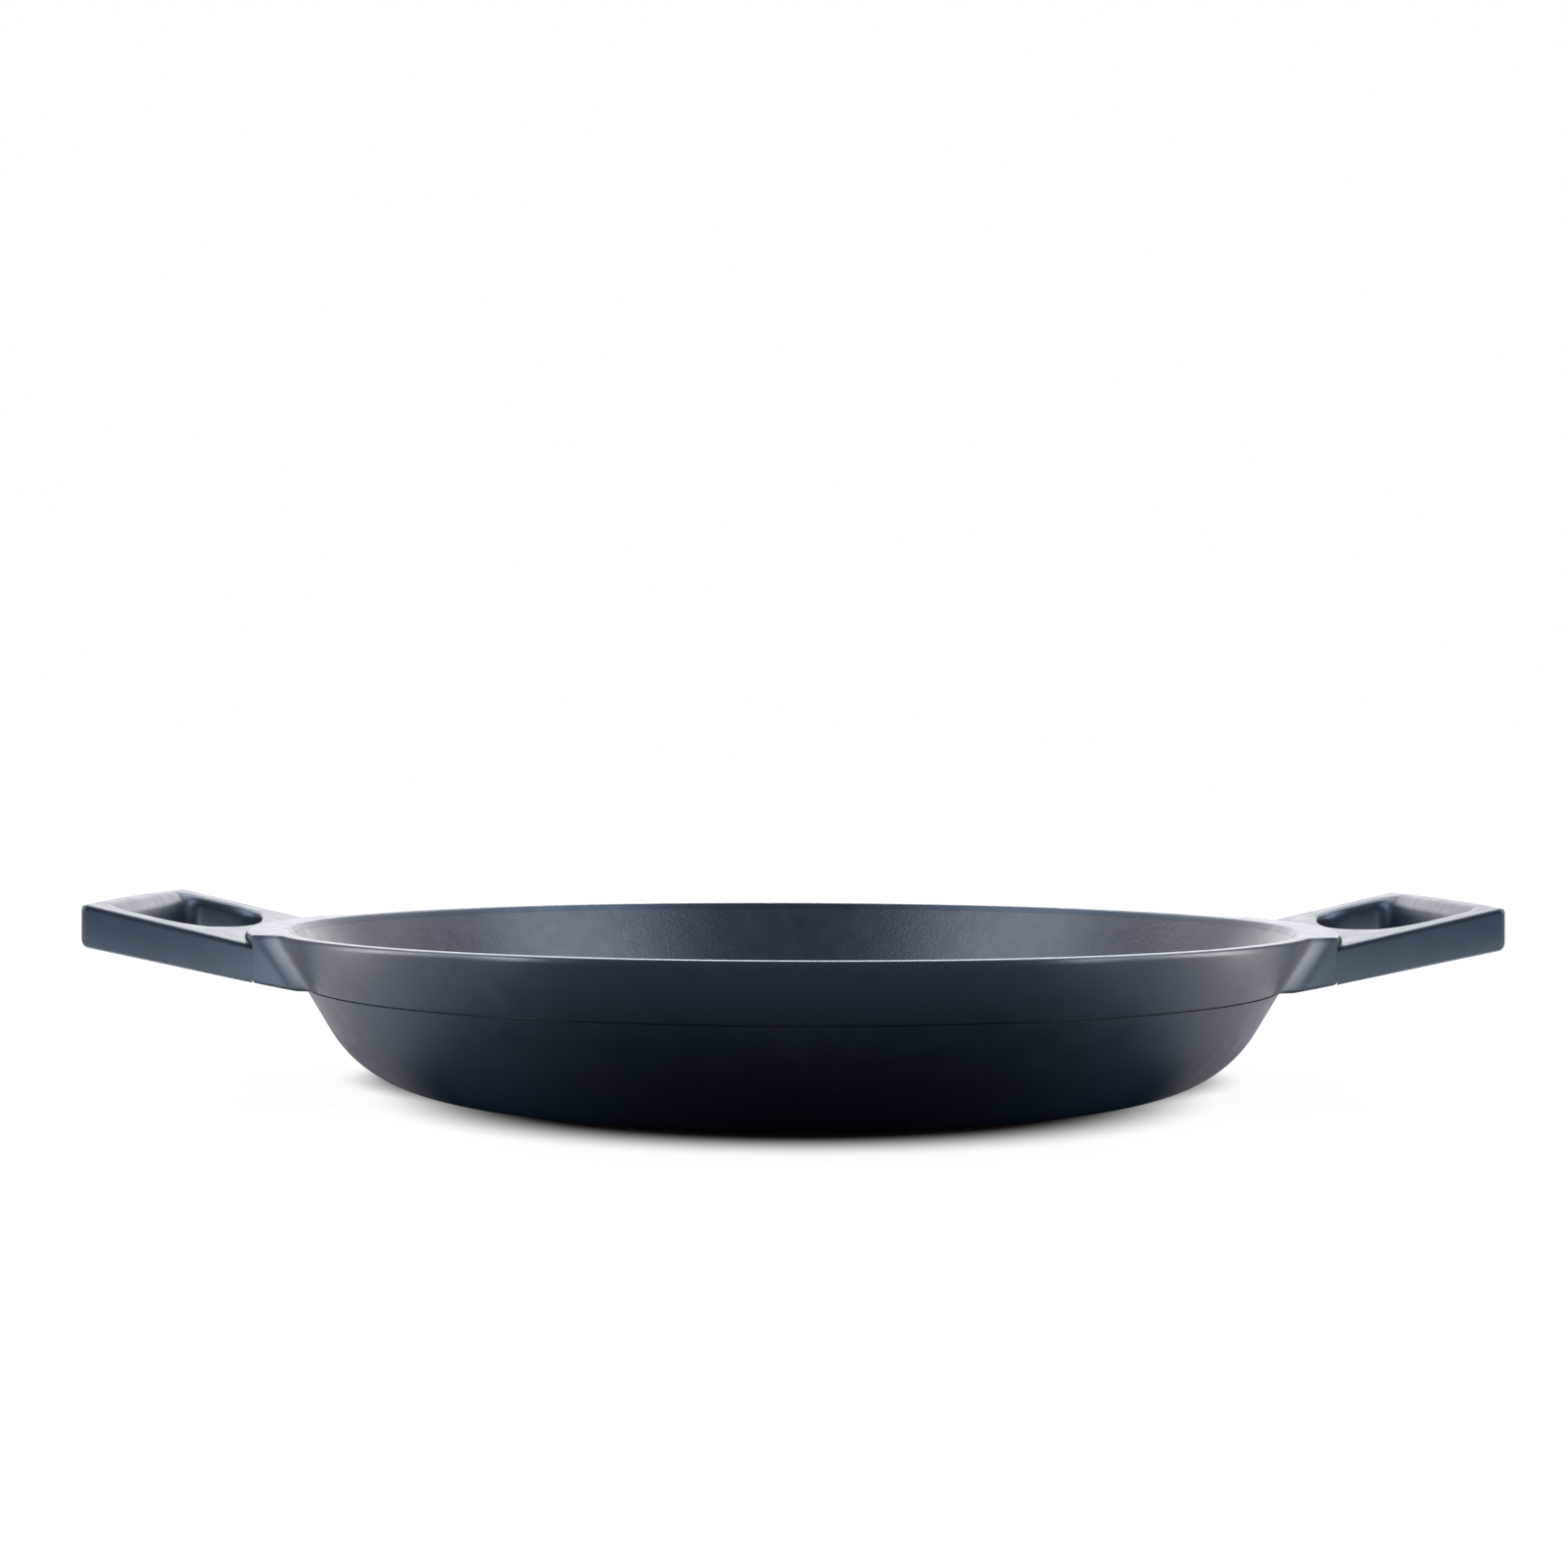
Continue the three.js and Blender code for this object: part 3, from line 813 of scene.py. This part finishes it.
def steel(name, tone, rough, rings, ring_depth):
    """Turned steel: fine rings round the upright axis."""
    made, nodes, links, main = shader(name)
    place = nodes.new("ShaderNodeTexCoord").outputs["Object"]
    flat = nodes.new("ShaderNodeVectorMath")
    flat.operation = "MULTIPLY"
    flat.inputs[1].default_value = (1, 1, 0)
    links.new(place, flat.inputs[0])
    length = nodes.new("ShaderNodeVectorMath")
    length.operation = "LENGTH"
    links.new(flat.outputs["Vector"], length.inputs[0])
    ring = nodes.new("ShaderNodeTexNoise")
    ring.noise_dimensions = "1D"
    ring.inputs["Scale"].default_value = rings
    ring.inputs["Detail"].default_value = RING_DETAIL
    links.new(length.outputs["Value"], ring.inputs["W"])
    darker = tuple(RING_SHADE * c for c in tone)
    shade = ranged(nodes, links, ring.outputs["Fac"], 0, 1)
    links.new(tones(nodes, links, shade, darker, tone), main.inputs["Base Color"])
    smooth, coarse = rough - RING_SMOOTHER, rough + RING_ROUGHER
    gloss = ranged(nodes, links, ring.outputs["Fac"], smooth, coarse)
    links.new(gloss, main.inputs["Roughness"])
    bumped(nodes, links, ring.outputs["Fac"], ring_depth, main)
    main.inputs["Metallic"].default_value = 1
    return made


# Floor and background
def eased(nodes, links, value, start, end, first, last):
    """First up to start, last from end on, and a soft passage between them."""
    found = nodes.new("ShaderNodeMapRange")
    found.interpolation_type = "SMOOTHSTEP"
    found.inputs["From Min"].default_value = start
    found.inputs["From Max"].default_value = end
    found.inputs["To Min"].default_value = first
    found.inputs["To Max"].default_value = last
    links.new(value, found.inputs["Value"])
    return found.outputs["Result"]


def paired(nodes, links, operation, first, second):
    found = nodes.new("ShaderNodeMath")
    found.operation = operation
    links.new(first, found.inputs[0])
    links.new(second, found.inputs[1])
    return found.outputs["Value"]


def larger(nodes, links, first, second):
    return paired(nodes, links, "MAXIMUM", first, second)


def product(nodes, links, first, second):
    return paired(nodes, links, "MULTIPLY", first, second)


def out_of_oval(nodes, links, place, middle, half_sizes):
    """How far out a place lies, where 1 is the edge of an oval."""
    shifted = nodes.new("ShaderNodeVectorMath")
    shifted.operation = "SUBTRACT"
    shifted.inputs[1].default_value = middle
    links.new(place, shifted.inputs[0])
    scaled = nodes.new("ShaderNodeVectorMath")
    scaled.operation = "DIVIDE"
    scaled.inputs[1].default_value = (*half_sizes, 1)
    links.new(shifted.outputs["Vector"], scaled.inputs[0])
    length = nodes.new("ShaderNodeVectorMath")
    length.operation = "LENGTH"
    links.new(scaled.outputs["Vector"], length.inputs[0])
    return length.outputs["Value"]


def floor_level(nodes, links, place, near_pan, shadows):
    """Brightness of the floor: full far away, less near the pan, dark in soft oval shadows."""
    away = out_of_oval(nodes, links, place, (0, 0, 0), (1, 1))
    level = eased(nodes, links, away, *DIMMED_REACH, near_pan, 1)
    for middle, half_sizes, dark_share in shadows:
        out = out_of_oval(nodes, links, place, middle, half_sizes)
        level = product(nodes, links, level, eased(nodes, links, out, dark_share, 1, 0, 1))
    return level


def white_floor():
    """A pale floor: white to the eye, and dark in the shadow of the pan."""
    made, nodes, links, main = shader("floor_white")
    main.inputs["Roughness"].default_value = FLOOR_ROUGH
    main.inputs["Specular IOR Level"].default_value = 0
    glow = nodes.new("ShaderNodeEmission")
    glow.inputs["Color"].default_value = (*WHITE, 1)
    path = nodes.new("ShaderNodeLightPath")
    mirrored = path.outputs["Is Glossy Ray"]
    # In reflections the floor takes the darker colour, a painted shade
    shade = tones(nodes, links, mirrored, FLOOR_TONE, FLOOR_REFLECTED_PAINTED_SHADE)
    links.new(shade, main.inputs["Base Color"])
    through = path.outputs["Is Transmission Ray"]
    seen = larger(nodes, links, path.outputs["Is Camera Ray"], through)
    place = nodes.new("ShaderNodeTexCoord").outputs["Object"]
    to_eye = floor_level(nodes, links, place, FLOOR_GLOW, SHADOWS)
    to_gloss = floor_level(nodes, links, place, FLOOR_GLOSS, MIRRORED_SHADOWS)
    to_eye = product(nodes, links, seen, to_eye)
    to_gloss = product(nodes, links, mirrored, to_gloss)
    links.new(larger(nodes, links, to_eye, to_gloss), glow.inputs["Strength"])
    both = nodes.new("ShaderNodeAddShader")
    links.new(main.outputs["BSDF"], both.inputs[0])
    links.new(glow.outputs["Emission"], both.inputs[1])
    links.new(both.outputs["Shader"], nodes["Material Output"].inputs["Surface"])
    mesh = bpy.data.meshes.new("floor")
    side = FLOOR_HALF_SIDE
    corners = [(-side, -side, 0), (side, -side, 0), (side, side, 0), (-side, side, 0)]
    mesh.from_pydata(corners, [], [(0, 1, 2, 3)])
    mesh.materials.append(made)
    found = bpy.data.objects.new("floor", mesh)
    found.location.z = -FLOOR_DROP
    bpy.context.scene.collection.objects.link(found)


def studio_world():
    """White to the eye and, as light, bright at the horizon and dim overhead."""
    world = bpy.data.worlds.new("studio")
    world.use_nodes = True
    bpy.context.scene.world = world
    nodes, links = world.node_tree.nodes, world.node_tree.links
    path = nodes.new("ShaderNodeLightPath")
    direction = nodes.new("ShaderNodeTexCoord").outputs["Generated"]
    split = nodes.new("ShaderNodeSeparateXYZ")
    links.new(direction, split.inputs["Vector"])
    upward = split.outputs["Z"]
    reach = (HORIZON_TOP, CEILING_START)
    level = eased(nodes, links, upward, *reach, HORIZON_LEVEL, CEILING_LEVEL)
    back = nodes["Background"]
    back.inputs["Color"].default_value = (*WHITE, 1)
    level = larger(nodes, links, level, path.outputs["Is Camera Ray"])
    links.new(level, back.inputs["Strength"])


# Lamps and camera
def softbox(name, place, target, width, height, power, colour=WHITE):
    """A rectangular lamp that faces its target and isn't seen by the camera."""
    data = bpy.data.lights.new(name, "AREA")
    data.shape = "RECTANGLE"
    data.size = width
    data.size_y = height
    data.energy = power
    data.color = colour
    lamp = bpy.data.objects.new(name, data)
    lamp.location = place
    facing = Vector(target) - Vector(place)
    lamp.rotation_euler = facing.to_track_quat("-Z", "Y").to_euler()
    lamp.visible_camera = False
    bpy.context.scene.collection.objects.link(lamp)


def softbox_pair(name, place, target, width, height, powers, colour=WHITE):
    """A softbox on the right, given by its place and target, and its mirror image on the left."""
    x, y, z = place
    target_x, target_y, target_z = target
    left_power, right_power = powers
    for side, sign, power in (("left_", -1, left_power), ("right_", 1, right_power)):
        here = (sign * x, y, z)
        there = (sign * target_x, target_y, target_z)
        softbox(side + name, here, there, width, height, power, colour)


def photo_camera():
    data = bpy.data.cameras.new("photo_camera")
    data.sensor_width = SENSOR
    data.lens = SENSOR * FOCAL_PIXELS / PHOTO_SIZE
    data.clip_start = CAMERA_NEAR
    camera = bpy.data.objects.new("photo_camera", data)
    pitch = Matrix.Rotation(QUARTER_TURN + CAMERA_PITCH, 4, "X")
    roll = Matrix.Rotation(CAMERA_ROLL, 4, "Z")
    round_pan = Matrix.Rotation(-PAN_TURN, 4, "Z")
    camera.matrix_world = round_pan @ Matrix.Translation(CAMERA_PLACE) @ (pitch @ roll)
    bpy.context.scene.collection.objects.link(camera)
    bpy.context.scene.camera = camera


photo_camera()

coat = coating(
    "satin_coating",
    dark=(0.0035, 0.0045, 0.006),
    light=(0.005, 0.006, 0.008),
    tint=(0.48, 0.68, 1),
    rough=0.36,
    grain=2600,
    grain_depth=0.02 * MM,
    sheen=0.022,
)
film = coating(
    "nonstick_film",
    dark=(0.004, 0.0085, 0.019),
    light=(0.006, 0.0115, 0.025),
    tint=(0.72, 0.79, 0.92),
    rough=0.34,
    grain=800,
    grain_depth=0.08 * MM,
    sheen=0,
)
turned_steel = steel(
    "turned_steel",
    tone=(0.6, 0.59, 0.57),
    rough=0.3,
    rings=1800,
    ring_depth=0.02 * MM,
)
screw_steel = steel(
    "screw_steel",
    tone=(0.42, 0.42, 0.43),
    rough=0.32,
    rings=3000,
    ring_depth=0.01 * MM,
)

bowl(coat)
lining(film)
base_plate(turned_steel)
handle("right_grip", 0, "handle_right", coat)
handle("left_grip", math.pi, "handle_left", coat)
for screw_node in SCREWS:
    screw(screw_node, screw_steel)

white_floor()
studio_world()
softbox_pair(
    "side",
    place=(1.05, -0.15, 0.85),
    target=LAMP_AIM,
    width=0.8,
    height=1.5,
    powers=(22.5, 22.5),
)
softbox("front", place=(0, -1.6, 0.3), target=LAMP_AIM, width=0.85, height=0.5, power=2.8)
softbox_pair(
    "card",
    place=(0.262, -0.112, 0.004),
    target=(0.252, -0.112, 1),
    width=0.12,
    height=0.136,
    powers=(0.57, 0.57),
    colour=WARM,
)
softbox_pair(
    "root",
    place=(0.145, -0.17, 0.012),
    target=(0.155, -0.058, 0.04),
    width=0.05,
    height=0.06,
    powers=(0.27, 0.2),
    colour=WARM,
)
softbox("behind", place=(0, 1.6, 0.35), target=LAMP_AIM, width=2.4, height=0.7, power=11)
softbox("overhead_behind", place=(0, 0.75, 0.95), target=LAMP_AIM, width=1.8, height=0.7, power=19)

bpy.context.scene.view_settings.view_transform = "Standard"
